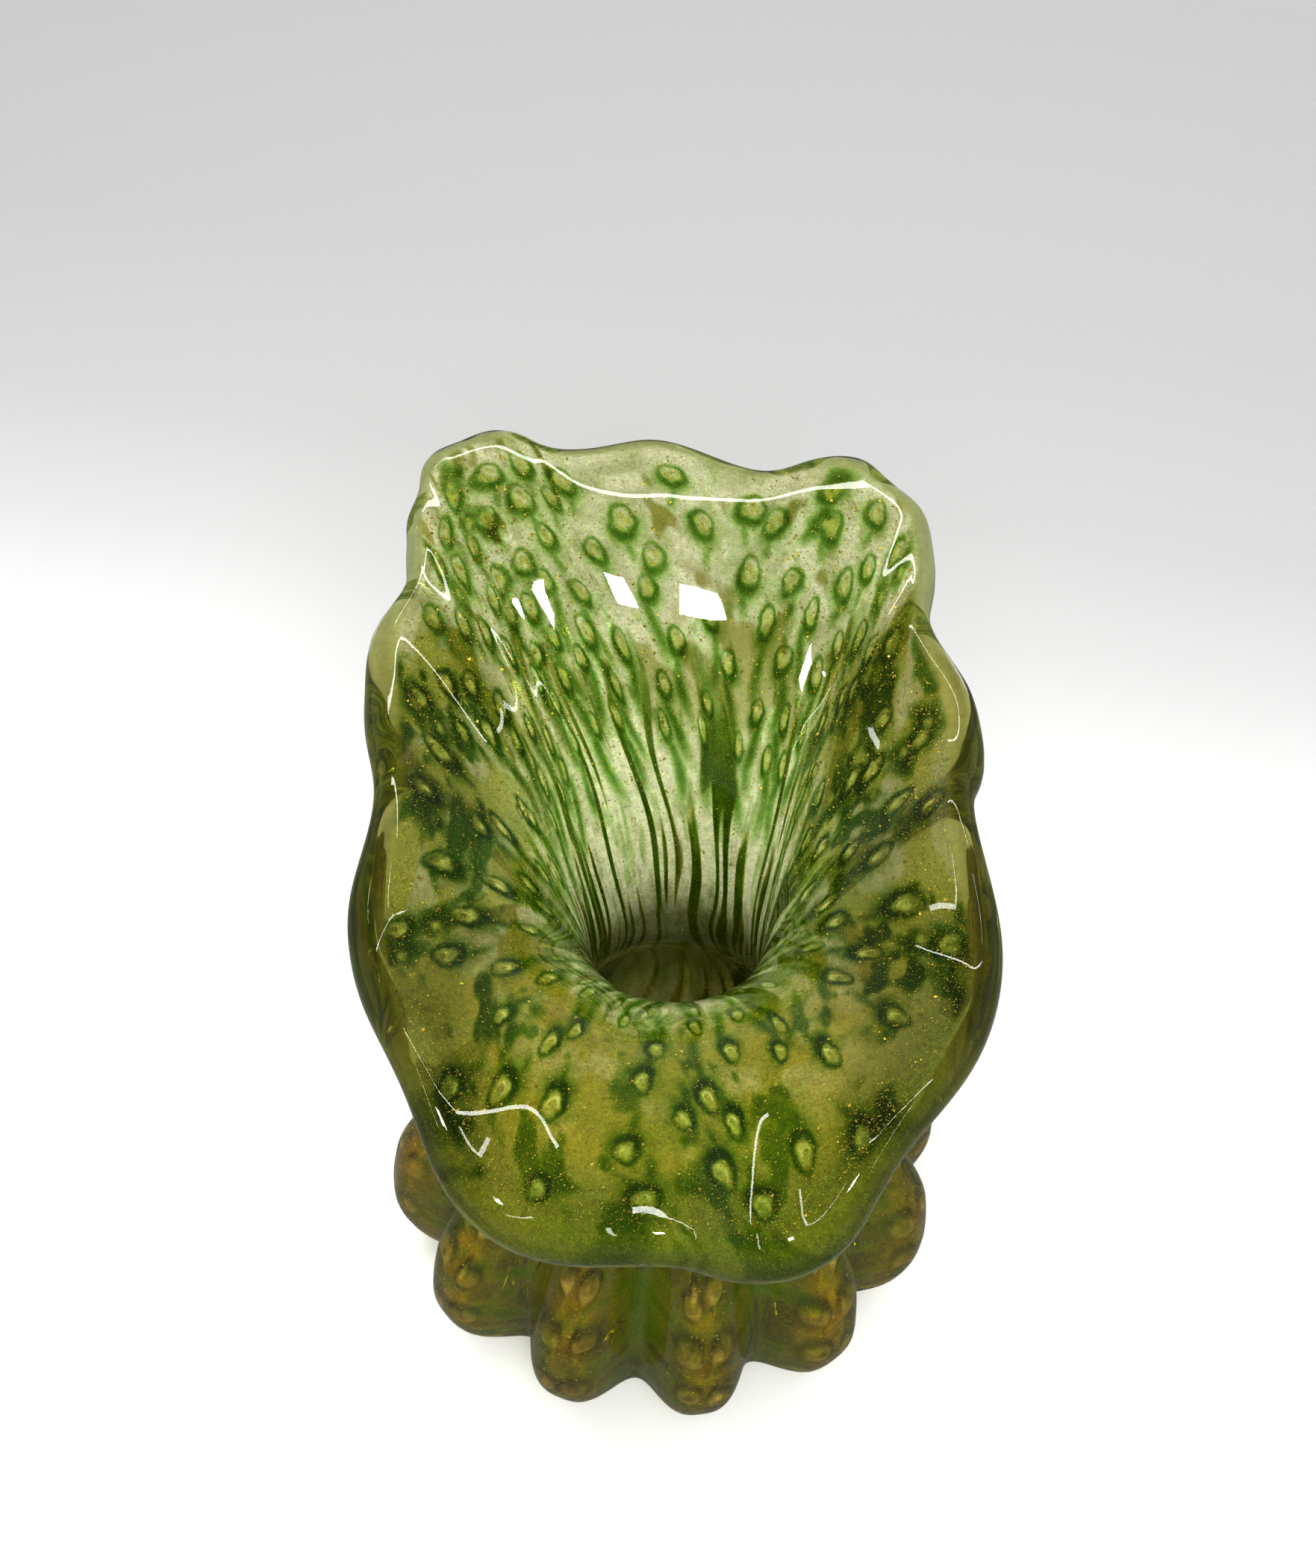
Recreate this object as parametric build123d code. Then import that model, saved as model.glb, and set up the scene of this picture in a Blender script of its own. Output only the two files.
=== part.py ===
from build123d import *
import os
import math
import numpy as np

# Hand-blown ribbed glass vase with a wide ruffled mouth, cased in two layers of
# glass with leaf flakes between them. Millimetres, +Z up, the foot stands on
# z = 0 with its centre at the origin, the low front of the mouth points to -Y.

# ------------------------------------------------------------ driving sizes
RIB_COUNT = 12            # ribs from the foot to the lip
RIB_TURN = -7.0           # the front groove's bearing, degrees toward +X
FOOT_RADIUS = 33.0        # ground ring the vase stands on
NECK_Z = 86.0             # height where the throat wall is upright
NECK_SHIFT = 2.5          # the neck stands this far toward +X of the foot
THROAT_MID = 19.2         # radius of the middle of the throat wall
WALL_NECK = 4.0           # half wall at the throat
WALL_FUNNEL = 3.6         # half wall half way up the mouth
WALL_LIP = 3.8            # half wall at the fire-polished lip, its bead radius
LIP_LOBE = 3.4            # how much fatter the bead is on a rib at the sides
LAYER = 1.0               # thickness of the inner coloured layer
LEAF_GAP = 0.5            # room for the leaf between the two layers
LAYER_END = 0.915         # how far up the mouth the inner layer reaches
RING_PTS = 96             # points on each ring (eight to a rib)

# outside of the body: height, radius on a rib's crest
BODY_Z = [0.0, 1.2, 4.5, 11.0, 21.0, 33.0, 44.0, 53.0, 61.0, 70.0, 78.0, 86.0]
BODY_R = [33.0, 39.0, 46.5, 52.5, 55.0, 53.8, 49.0, 42.5, 36.0, 30.0, 26.9, 25.6]
# depth of the grooves between the ribs
GROOVE_Z = [0.0, 1.2, 5.0, 13.0, 24.0, 40.0, 52.0, 62.0, 74.0, 86.0]
GROOVE_D = [0.0, 1.6, 5.6, 9.0, 10.0, 9.6, 7.6, 5.0, 3.2, 2.4]
# cavity: height above the casing's floor line, radius (inner layer's surface)
CAV_Z = [86.0, 80.0, 73.0, 65.0, 57.0, 48.0, 38.0, 27.0, 19.0, 14.0, 12.0, 11.3]
CAV_R = [15.2, 15.5, 17.2, 20.8, 25.4, 30.4, 34.6, 36.2, 33.4, 27.0, 18.0, 8.0]
# extra outside thickness of a rib along the mouth, throat to lip
RIB_S = [0.0, 0.3, 0.6, 0.85, 1.0]
RIB_A = [2.4, 2.9, 3.1, 2.6, 0.0]

# middle of the lip, four points to a rib: groove, flank, crest, flank ...
LIP = [
    (1.2, -77.9, 129.0), (9.5, -77.3, 125.3), (19.1, -75.8, 123.5), (27.3, -70.9, 127.3),
    (34.9, -60.1, 129.3), (44.5, -44.5, 127.3), (50.0, -27.4, 125.4), (49.9, -13.4, 127.7),
    (49.0, 1.8, 129.9), (49.8, 11.1, 129.0), (49.8, 20.5, 129.2), (48.2, 30.2, 130.5),
    (45.3, 41.3, 131.1), (45.9, 51.5, 131.6), (46.1, 59.7, 132.2), (45.3, 67.7, 132.8),
    (41.0, 73.9, 133.5), (36.7, 77.8, 134.1), (31.1, 78.5, 134.6), (24.9, 76.6, 135.0),
    (17.7, 74.7, 135.3), (8.4, 78.2, 135.6), (-1.1, 82.0, 135.8), (-10.0, 80.5, 135.9),
    (-18.8, 79.9, 136.0), (-24.0, 82.7, 135.9), (-28.6, 84.6, 135.8), (-33.0, 84.4, 135.6),
    (-37.0, 82.7, 135.3), (-39.9, 81.0, 134.9), (-42.0, 78.5, 134.4), (-43.2, 75.4, 133.9),
    (-43.7, 71.2, 133.5), (-44.3, 65.7, 132.9), (-43.8, 60.7, 132.2), (-43.8, 55.4, 131.6),
    (-44.9, 49.2, 131.0), (-47.5, 41.1, 130.1), (-47.4, 30.2, 129.4), (-46.5, 18.3, 129.1),
    (-45.6, 4.8, 129.2), (-46.4, -9.6, 128.0), (-46.1, -21.3, 126.0), (-43.0, -34.9, 127.3),
    (-37.5, -50.3, 128.8), (-31.7, -61.8, 126.4), (-23.8, -69.9, 123.5), (-12.0, -75.5, 126.2),
]
LIP = np.array(LIP)


# ------------------------------------------------------------ curve helpers
def periodic_spline(vals, x):
    """Closed cubic spline through vals at x = 0, 1, 2 ..."""
    vals = np.asarray(vals, float)
    n = len(vals)
    a = np.zeros((n, n))
    for i in range(n):
        a[i, i] = 4 / 6
        a[i, (i + 1) % n] += 1 / 6
        a[i, (i - 1) % n] += 1 / 6
    c = np.linalg.solve(a, vals)
    x = np.asarray(x, float)
    i = np.floor(x).astype(int)
    f = x - i
    if vals.ndim > 1:
        f = f[..., None]
    return ((1 - f) ** 3 / 6 * c[(i - 1) % n] + (3 * f**3 - 6 * f**2 + 4) / 6 * c[i % n]
            + (-3 * f**3 + 3 * f**2 + 3 * f + 1) / 6 * c[(i + 1) % n] + f**3 / 6 * c[(i + 2) % n])


def smooth_curve(xs, ys, x):
    """Monotone cubic through the listed points."""
    xs = np.asarray(xs, float)
    ys = np.asarray(ys, float)
    h = np.diff(xs)
    d = np.diff(ys) / h
    m = np.zeros(len(xs))
    for i in range(1, len(xs) - 1):
        if d[i - 1] * d[i] > 0:
            w1 = 2 * h[i] + h[i - 1]
            w2 = h[i] + 2 * h[i - 1]
            m[i] = (w1 + w2) / (w1 / d[i - 1] + w2 / d[i])
    m[0], m[-1] = d[0], d[-1]
    x = np.clip(np.asarray(x, float), xs[0], xs[-1])
    i = np.clip(np.searchsorted(xs, x) - 1, 0, len(h) - 1)
    s = (x - xs[i]) / h[i]
    return ((2 * s**3 - 3 * s**2 + 1) * ys[i] + (s**3 - 2 * s**2 + s) * h[i] * m[i]
            + (-2 * s**3 + 3 * s**2) * ys[i + 1] + (s**3 - s**2) * h[i] * m[i + 1])


def low_pass(vals, keep):
    """The same closed curve with only its broad shape kept."""
    f = np.fft.rfft(vals, axis=0)
    f[keep + 1:] = 0
    return np.fft.irfft(f, len(vals), axis=0)


LIP_BROAD = low_pass(LIP, 4)


def bearing(t):
    return np.radians(RIB_TURN + 360.0 / RIB_COUNT * np.asarray(t, float))


def outward(t):
    a = bearing(t)
    return np.stack([np.sin(a), -np.cos(a), 0 * a], -1)


def groove(t):
    """1 in a groove, 0 over the round back of a rib."""
    return (np.cos(np.pi * np.asarray(t, float)) ** 2) ** 1.6


def step(x):
    x = np.clip(x, 0, 1)
    return x * x * (3 - 2 * x)


# ------------------------------------------------------------ the mouth
def mouth_mid(t, s):
    """Middle of the mouth's wall from the throat (s = 0) to the lip (s = 1)."""
    t = np.asarray(t, float)
    s = np.asarray(s, float) + 0 * t
    t = t + 0 * s
    centre = np.array([NECK_SHIFT, 0.0, 0.0])
    p0 = outward(t) * THROAT_MID + centre + np.array([0, 0, NECK_Z])
    lip = periodic_spline(LIP, t * 4)
    broad = periodic_spline(LIP_BROAD, t * 4)
    o = broad - centre
    o[..., 2] = 0
    reach = np.linalg.norm(o, axis=-1, keepdims=True)
    o = o / reach
    end = o[..., 1:2] ** 2
    slope = np.radians(30.0 - 30.0 * end)
    tau = o * np.cos(slope)
    tau[..., 2] = np.sin(slope[..., 0])
    p1 = p0 + np.array([0, 0, 1.0]) * (27.0 + 5.0 * end)
    p2 = broad - tau * (0.52 * (reach - THROAT_MID))
    s = s[..., None]
    return (1 - s) ** 3 * p0 + 3 * (1 - s) ** 2 * s * p1 + 3 * (1 - s) * s * s * p2 + s**3 * lip


def mouth_frame(t, s):
    """Point, inward normal and along-the-wall direction."""
    e = 1e-3
    s0 = np.clip(np.asarray(s, float) - e, 0, 1)
    s1 = np.clip(np.asarray(s, float) + e, 0, 1)
    m = mouth_mid(t, s)
    dt = mouth_mid(np.asarray(t) + e, s) - mouth_mid(np.asarray(t) - e, s)
    ds = mouth_mid(t, s1) - mouth_mid(t, s0)
    n = np.cross(dt, ds)
    n /= np.linalg.norm(n, axis=-1, keepdims=True)
    a = ds / np.linalg.norm(ds, axis=-1, keepdims=True)
    # the inward side is the one that faces the axis at the throat
    if np.sum(n[..., :2] * outward(t)[..., :2]) > 0:
        n = -n
    return m, n, a


def half_wall(s):
    return smooth_curve([0, 0.45, 0.85, 1.0], [WALL_NECK, WALL_FUNNEL, WALL_FUNNEL + 0.15, WALL_LIP], s)


def mouth_inner(t, s, deep=0.0):
    m, n, a = mouth_frame(t, s)
    return m + n * (half_wall(s) - deep)[..., None]


def rib_height(t, s):
    """Extra outside thickness; the lip's bead swells into a lobe on each rib."""
    side = np.sin(bearing(t)) ** 2
    lobe = LIP_LOBE * (0.40 + 0.60 * side) * step((s - 0.70) / 0.30)
    return (smooth_curve(RIB_S, RIB_A, s) + lobe) * (1 - groove(t))


def mouth_outer(t, s):
    m, n, a = mouth_frame(t, s)
    return m - n * (half_wall(s) + rib_height(t, s))[..., None]


def lip_bead(t, turn):
    """Round of the lip, turn = 0 on the outside, pi on the inside, fatter on the ribs."""
    m, n, a = mouth_frame(t, np.ones_like(t))
    r = WALL_LIP + rib_height(t, np.ones_like(t)) * (1 + math.cos(turn)) / 2
    return m - n * (r * math.cos(turn))[..., None] + a * (r * math.sin(turn))[..., None]


# ------------------------------------------------------------ body and cavity
def shift_at(z):
    return NECK_SHIFT * step(z / NECK_Z)


def body_outer(t, u):
    k = np.linspace(0, 1, len(BODY_Z))
    z = smooth_curve(k, BODY_Z, u)
    r = smooth_curve(k, BODY_R, u) - smooth_curve(GROOVE_Z, GROOVE_D, z) * groove(t)
    p = outward(t) * r[..., None]
    p[..., 0] += shift_at(z)
    p[..., 2] = z
    return p


def cavity(t, u, deep=0.0):
    """Cavity wall from the throat (u = 0) to the floor (u = 1)."""
    k = np.linspace(0, 1, len(CAV_Z))
    e = 1e-3
    ua, ub = np.clip(u - e, 0, 1), np.clip(u + e, 0, 1)
    z, r = smooth_curve(k, CAV_Z, u), smooth_curve(k, CAV_R, u)
    dz = smooth_curve(k, CAV_Z, ub) - smooth_curve(k, CAV_Z, ua)
    dr = smooth_curve(k, CAV_R, ub) - smooth_curve(k, CAV_R, ua)
    ln = np.hypot(dz, dr)
    nr, nz = -dz / ln, dr / ln              # away from the cavity
    flat = step((u - 0.90) / 0.10)          # the floor's middle is level
    nr, nz = nr * (1 - flat), nz * (1 - flat) - flat
    steep = 1 - step(u / 0.06)              # the throat is upright
    nr, nz = nr * (1 - steep) + steep, nz * (1 - steep)
    ln = np.hypot(nr, nz)
    r = r + deep * nr / ln
    z2 = z + deep * nz / ln
    p = outward(t) * r[..., None]
    p[..., 0] += shift_at(z)
    p[..., 2] = z2
    return p


# ------------------------------------------------------------ rings to solids
T = np.arange(RING_PTS) * RIB_COUNT / RING_PTS


def full(v):
    return np.full_like(T, v)


def ring(points):
    edge = Edge.make_spline([Vector(*[float(c) for c in p]) for p in points], periodic=True)
    return Wire([edge])


def casing_deep(s):
    """How far the casing's inside stands back to hold the inner layer."""
    return (LAYER + LEAF_GAP) * (1 - step((s - LAYER_END) / (0.94 - LAYER_END)))


MOUTH_S = [0.0, 0.08, 0.17, 0.27, 0.38, 0.49, 0.60, 0.70, 0.79, 0.87, 0.905]
CAVITY_U = [0.0, 0.09, 0.18, 0.27, 0.36, 0.45, 0.54, 0.63, 0.71, 0.79, 0.86, 0.93, 1.0]
BODY_U = [0.0, 0.05, 0.1, 0.16, 0.22, 0.3, 0.38, 0.46, 0.54, 0.62, 0.7, 0.78, 0.86, 0.93, 1.0]

casing_rings = [body_outer(T, full(u)) for u in BODY_U]
casing_rings += [mouth_outer(T, full(s)) for s in MOUTH_S[1:] + [0.955, 1.0]]
casing_rings += [lip_bead(T, a) for a in np.linspace(0, math.pi, 7)[1:]]
casing_rings += [mouth_inner(T, full(s), casing_deep(s)) for s in [0.97, 0.94] + MOUTH_S[::-1]]
casing_rings += [cavity(T, full(u), LAYER + LEAF_GAP) for u in CAVITY_U[1:]]


def layer_deep(s):
    return LAYER if s < 0.9 else 0.6 * LAYER


gather_rings = [cavity(T, full(u), LAYER) for u in CAVITY_U[::-1]]
gather_rings += [mouth_inner(T, full(s), layer_deep(s)) for s in MOUTH_S[1:]]
gather_rings += [mouth_inner(T, full(LAYER_END), 0.3 * LAYER)]
gather_rings += [mouth_inner(T, full(s), 0.0) for s in MOUTH_S[::-1]]
gather_rings += [cavity(T, full(u), 0.0) for u in CAVITY_U[1:]]

clear_casing = Solid.make_loft([ring(r) for r in casing_rings], ruled=True)
inner_gather = Solid.make_loft([ring(r) for r in gather_rings], ruled=True)

# ------------------------------------------------------------ leaf
# Flakes of metal leaf lie flat between the two layers, in staggered rows that
# follow the ribs: torn small near the lip, smaller in the throat and body.
LEAF_THICK = 0.10
leaf = []


def flake(place, normal, along, size, turn):
    x = Vector(*[float(c) for c in along])
    plane = Plane(origin=Vector(*[float(c) for c in place]), x_dir=x, z_dir=Vector(*[float(c) for c in normal]))
    block = Solid.make_box(size, size * 0.72, LEAF_THICK)
    block = block.moved(Location((-size / 2, -size * 0.36, -LEAF_THICK / 2), (0, 0, 0)))
    block = block.moved(Location((0, 0, 0), (0, 0, turn)))
    return block.moved(plane.location)


GAP_MID = LAYER + LEAF_GAP / 2
count = 0
for row, s in enumerate([MOUTH_S[8], MOUTH_S[6]]):
    size = 1.7 - 0.2 * row
    for k in range(12):
        t = np.array([k + 0.5 * (row % 2) + 0.25])
        sv = np.array([s])
        m, n, a = mouth_frame(t, sv)
        p = m + n * (half_wall(sv) - GAP_MID)[..., None]
        leaf.append(flake(p[0], n[0], a[0], size, 0.0))
        count += 1
for row, u in enumerate([CAVITY_U[5]]):
    for k in range(12):
        t = np.array([k + 0.5 * (row % 2)])
        uv = np.array([u])
        p = cavity(t, uv, GAP_MID)
        q = cavity(t, uv + 0.01, GAP_MID)
        n = p - cavity(t, uv, GAP_MID + 0.5)
        a = q - p
        n, a = n[0] / np.linalg.norm(n[0]), a[0] / np.linalg.norm(a[0])
        leaf.append(flake(p[0], n, a, 1.2, 0.0))
        count += 1
gold_leaf = Compound(children=leaf)

# ------------------------------------------------------------ one file per piece
os.makedirs("parts", exist_ok=True)
for name, shape in (("clear_casing", clear_casing), ("inner_gather", inner_gather), ("gold_leaf", gold_leaf)):
    shape.label = name
    export_step(shape, "parts/" + name + ".step")
print("pieces", 3, "flakes", count, "casing", round(clear_casing.volume), "gather", round(inner_gather.volume))
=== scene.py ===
import bpy
import math
import numpy as np
from mathutils import Matrix, Vector


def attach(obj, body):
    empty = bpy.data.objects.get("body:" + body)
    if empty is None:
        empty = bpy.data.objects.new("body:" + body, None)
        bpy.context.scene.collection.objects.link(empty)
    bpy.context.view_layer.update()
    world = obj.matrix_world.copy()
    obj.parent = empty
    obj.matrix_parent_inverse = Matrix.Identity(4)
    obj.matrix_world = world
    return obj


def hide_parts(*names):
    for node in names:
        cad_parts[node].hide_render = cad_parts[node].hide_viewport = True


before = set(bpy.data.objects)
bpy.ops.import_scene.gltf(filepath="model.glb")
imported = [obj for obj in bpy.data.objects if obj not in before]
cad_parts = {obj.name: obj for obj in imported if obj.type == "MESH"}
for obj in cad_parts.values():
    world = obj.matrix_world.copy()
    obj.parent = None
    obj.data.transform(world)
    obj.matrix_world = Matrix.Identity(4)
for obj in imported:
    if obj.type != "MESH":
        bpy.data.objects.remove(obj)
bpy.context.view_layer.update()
MM = 0.001
rng = np.random.default_rng(41)

# ===================================================================== shape
# The same sizes as the CAD, in millimetres, with +Z up and the foot on z = 0.
RIB_COUNT = 12            # ribs from the foot to the lip
RIB_TURN = -7.0           # the front groove's bearing, degrees toward +X
FOOT_RADIUS = 33.0        # ground ring the vase stands on
NECK_Z = 86.0             # height where the throat wall is upright
NECK_SHIFT = 2.5          # the neck stands this far toward +X of the foot
THROAT_MID = 19.2         # radius of the middle of the throat wall
WALL_NECK = 4.0           # half wall at the throat
WALL_FUNNEL = 3.6         # half wall half way up the mouth
WALL_LIP = 3.8            # half wall at the fire-polished lip, its bead radius
LIP_LOBE = 3.4            # how much fatter the bead is on a rib at the sides
LAYER = 1.0               # thickness of the inner coloured layer
LEAF_GAP = 0.5            # room for the leaf between the two layers
LAYER_END = 0.915         # how far up the mouth the inner layer reaches
RING_PTS = 96             # points on each ring (eight to a rib)

# outside of the body: height, radius on a rib's crest
BODY_Z = [0.0, 1.2, 4.5, 11.0, 21.0, 33.0, 44.0, 53.0, 61.0, 70.0, 78.0, 86.0]
BODY_R = [33.0, 39.0, 46.5, 52.5, 55.0, 53.8, 49.0, 42.5, 36.0, 30.0, 26.9, 25.6]
# depth of the grooves between the ribs
GROOVE_Z = [0.0, 1.2, 5.0, 13.0, 24.0, 40.0, 52.0, 62.0, 74.0, 86.0]
GROOVE_D = [0.0, 1.6, 5.6, 9.0, 10.0, 9.6, 7.6, 5.0, 3.2, 2.4]
# cavity: height above the casing's floor line, radius (inner layer's surface)
CAV_Z = [86.0, 80.0, 73.0, 65.0, 57.0, 48.0, 38.0, 27.0, 19.0, 14.0, 12.0, 11.3]
CAV_R = [15.2, 15.5, 17.2, 20.8, 25.4, 30.4, 34.6, 36.2, 33.4, 27.0, 18.0, 8.0]
# extra outside thickness of a rib along the mouth, throat to lip
RIB_S = [0.0, 0.3, 0.6, 0.85, 1.0]
RIB_A = [2.4, 2.9, 3.1, 2.6, 0.0]

# middle of the lip, four points to a rib: groove, flank, crest, flank ...
LIP = [
    (1.2, -77.9, 129.0), (9.5, -77.3, 125.3), (19.1, -75.8, 123.5), (27.3, -70.9, 127.3),
    (34.9, -60.1, 129.3), (44.5, -44.5, 127.3), (50.0, -27.4, 125.4), (49.9, -13.4, 127.7),
    (49.0, 1.8, 129.9), (49.8, 11.1, 129.0), (49.8, 20.5, 129.2), (48.2, 30.2, 130.5),
    (45.3, 41.3, 131.1), (45.9, 51.5, 131.6), (46.1, 59.7, 132.2), (45.3, 67.7, 132.8),
    (41.0, 73.9, 133.5), (36.7, 77.8, 134.1), (31.1, 78.5, 134.6), (24.9, 76.6, 135.0),
    (17.7, 74.7, 135.3), (8.4, 78.2, 135.6), (-1.1, 82.0, 135.8), (-10.0, 80.5, 135.9),
    (-18.8, 79.9, 136.0), (-24.0, 82.7, 135.9), (-28.6, 84.6, 135.8), (-33.0, 84.4, 135.6),
    (-37.0, 82.7, 135.3), (-39.9, 81.0, 134.9), (-42.0, 78.5, 134.4), (-43.2, 75.4, 133.9),
    (-43.7, 71.2, 133.5), (-44.3, 65.7, 132.9), (-43.8, 60.7, 132.2), (-43.8, 55.4, 131.6),
    (-44.9, 49.2, 131.0), (-47.5, 41.1, 130.1), (-47.4, 30.2, 129.4), (-46.5, 18.3, 129.1),
    (-45.6, 4.8, 129.2), (-46.4, -9.6, 128.0), (-46.1, -21.3, 126.0), (-43.0, -34.9, 127.3),
    (-37.5, -50.3, 128.8), (-31.7, -61.8, 126.4), (-23.8, -69.9, 123.5), (-12.0, -75.5, 126.2),
]
LIP = np.array(LIP)


# ------------------------------------------------------------ curve helpers
def periodic_spline(vals, x):
    """Closed cubic spline through vals at x = 0, 1, 2 ..."""
    vals = np.asarray(vals, float)
    n = len(vals)
    a = np.zeros((n, n))
    for i in range(n):
        a[i, i] = 4 / 6
        a[i, (i + 1) % n] += 1 / 6
        a[i, (i - 1) % n] += 1 / 6
    c = np.linalg.solve(a, vals)
    x = np.asarray(x, float)
    i = np.floor(x).astype(int)
    f = x - i
    if vals.ndim > 1:
        f = f[..., None]
    return ((1 - f) ** 3 / 6 * c[(i - 1) % n] + (3 * f**3 - 6 * f**2 + 4) / 6 * c[i % n]
            + (-3 * f**3 + 3 * f**2 + 3 * f + 1) / 6 * c[(i + 1) % n] + f**3 / 6 * c[(i + 2) % n])


def smooth_curve(xs, ys, x):
    """Monotone cubic through the listed points."""
    xs = np.asarray(xs, float)
    ys = np.asarray(ys, float)
    h = np.diff(xs)
    d = np.diff(ys) / h
    m = np.zeros(len(xs))
    for i in range(1, len(xs) - 1):
        if d[i - 1] * d[i] > 0:
            w1 = 2 * h[i] + h[i - 1]
            w2 = h[i] + 2 * h[i - 1]
            m[i] = (w1 + w2) / (w1 / d[i - 1] + w2 / d[i])
    m[0], m[-1] = d[0], d[-1]
    x = np.clip(np.asarray(x, float), xs[0], xs[-1])
    i = np.clip(np.searchsorted(xs, x) - 1, 0, len(h) - 1)
    s = (x - xs[i]) / h[i]
    return ((2 * s**3 - 3 * s**2 + 1) * ys[i] + (s**3 - 2 * s**2 + s) * h[i] * m[i]
            + (-2 * s**3 + 3 * s**2) * ys[i + 1] + (s**3 - s**2) * h[i] * m[i + 1])


def low_pass(vals, keep):
    """The same closed curve with only its broad shape kept."""
    f = np.fft.rfft(vals, axis=0)
    f[keep + 1:] = 0
    return np.fft.irfft(f, len(vals), axis=0)


LIP_BROAD = low_pass(LIP, 4)


def bearing(t):
    return np.radians(RIB_TURN + 360.0 / RIB_COUNT * np.asarray(t, float))


def outward(t):
    a = bearing(t)
    return np.stack([np.sin(a), -np.cos(a), 0 * a], -1)


def groove(t):
    """1 in a groove, 0 over the round back of a rib."""
    return (np.cos(np.pi * np.asarray(t, float)) ** 2) ** 1.6


def step(x):
    x = np.clip(x, 0, 1)
    return x * x * (3 - 2 * x)


# ------------------------------------------------------------ the mouth
def mouth_mid(t, s):
    """Middle of the mouth's wall from the throat (s = 0) to the lip (s = 1)."""
    t = np.asarray(t, float)
    s = np.asarray(s, float) + 0 * t
    t = t + 0 * s
    centre = np.array([NECK_SHIFT, 0.0, 0.0])
    p0 = outward(t) * THROAT_MID + centre + np.array([0, 0, NECK_Z])
    lip = periodic_spline(LIP, t * 4)
    broad = periodic_spline(LIP_BROAD, t * 4)
    o = broad - centre
    o[..., 2] = 0
    reach = np.linalg.norm(o, axis=-1, keepdims=True)
    o = o / reach
    end = o[..., 1:2] ** 2
    slope = np.radians(30.0 - 30.0 * end)
    tau = o * np.cos(slope)
    tau[..., 2] = np.sin(slope[..., 0])
    p1 = p0 + np.array([0, 0, 1.0]) * (27.0 + 5.0 * end)
    p2 = broad - tau * (0.52 * (reach - THROAT_MID))
    s = s[..., None]
    return (1 - s) ** 3 * p0 + 3 * (1 - s) ** 2 * s * p1 + 3 * (1 - s) * s * s * p2 + s**3 * lip


def mouth_frame(t, s):
    """Point, inward normal and along-the-wall direction."""
    e = 1e-3
    s0 = np.clip(np.asarray(s, float) - e, 0, 1)
    s1 = np.clip(np.asarray(s, float) + e, 0, 1)
    m = mouth_mid(t, s)
    dt = mouth_mid(np.asarray(t) + e, s) - mouth_mid(np.asarray(t) - e, s)
    ds = mouth_mid(t, s1) - mouth_mid(t, s0)
    n = np.cross(dt, ds)
    n /= np.linalg.norm(n, axis=-1, keepdims=True)
    a = ds / np.linalg.norm(ds, axis=-1, keepdims=True)
    # the inward side is the one that faces the axis at the throat
    if np.sum(n[..., :2] * outward(t)[..., :2]) > 0:
        n = -n
    return m, n, a


def half_wall(s):
    return smooth_curve([0, 0.45, 0.85, 1.0], [WALL_NECK, WALL_FUNNEL, WALL_FUNNEL + 0.15, WALL_LIP], s)


def mouth_inner(t, s, deep=0.0):
    m, n, a = mouth_frame(t, s)
    return m + n * (half_wall(s) - deep)[..., None]


def rib_height(t, s):
    """Extra outside thickness; the lip's bead swells into a lobe on each rib."""
    side = np.sin(bearing(t)) ** 2
    lobe = LIP_LOBE * (0.40 + 0.60 * side) * step((s - 0.70) / 0.30)
    return (smooth_curve(RIB_S, RIB_A, s) + lobe) * (1 - groove(t))


def mouth_outer(t, s):
    m, n, a = mouth_frame(t, s)
    return m - n * (half_wall(s) + rib_height(t, s))[..., None]


def lip_bead(t, turn):
    """Round of the lip, turn = 0 on the outside, pi on the inside, fatter on the ribs."""
    m, n, a = mouth_frame(t, np.ones_like(t))
    r = WALL_LIP + rib_height(t, np.ones_like(t)) * (1 + math.cos(turn)) / 2
    return m - n * (r * math.cos(turn))[..., None] + a * (r * math.sin(turn))[..., None]


# ------------------------------------------------------------ body and cavity
def shift_at(z):
    return NECK_SHIFT * step(z / NECK_Z)


def body_outer(t, u):
    k = np.linspace(0, 1, len(BODY_Z))
    z = smooth_curve(k, BODY_Z, u)
    r = smooth_curve(k, BODY_R, u) - smooth_curve(GROOVE_Z, GROOVE_D, z) * groove(t)
    p = outward(t) * r[..., None]
    p[..., 0] += shift_at(z)
    p[..., 2] = z
    return p


def cavity(t, u, deep=0.0):
    """Cavity wall from the throat (u = 0) to the floor (u = 1)."""
    k = np.linspace(0, 1, len(CAV_Z))
    e = 1e-3
    ua, ub = np.clip(u - e, 0, 1), np.clip(u + e, 0, 1)
    z, r = smooth_curve(k, CAV_Z, u), smooth_curve(k, CAV_R, u)
    dz = smooth_curve(k, CAV_Z, ub) - smooth_curve(k, CAV_Z, ua)
    dr = smooth_curve(k, CAV_R, ub) - smooth_curve(k, CAV_R, ua)
    ln = np.hypot(dz, dr)
    nr, nz = -dz / ln, dr / ln              # away from the cavity
    flat = step((u - 0.90) / 0.10)          # the floor's middle is level
    nr, nz = nr * (1 - flat), nz * (1 - flat) - flat
    steep = 1 - step(u / 0.06)              # the throat is upright
    nr, nz = nr * (1 - steep) + steep, nz * (1 - steep)
    ln = np.hypot(nr, nz)
    r = r + deep * nr / ln
    z2 = z + deep * nz / ln
    p = outward(t) * r[..., None]
    p[..., 0] += shift_at(z)
    p[..., 2] = z2
    return p




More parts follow.
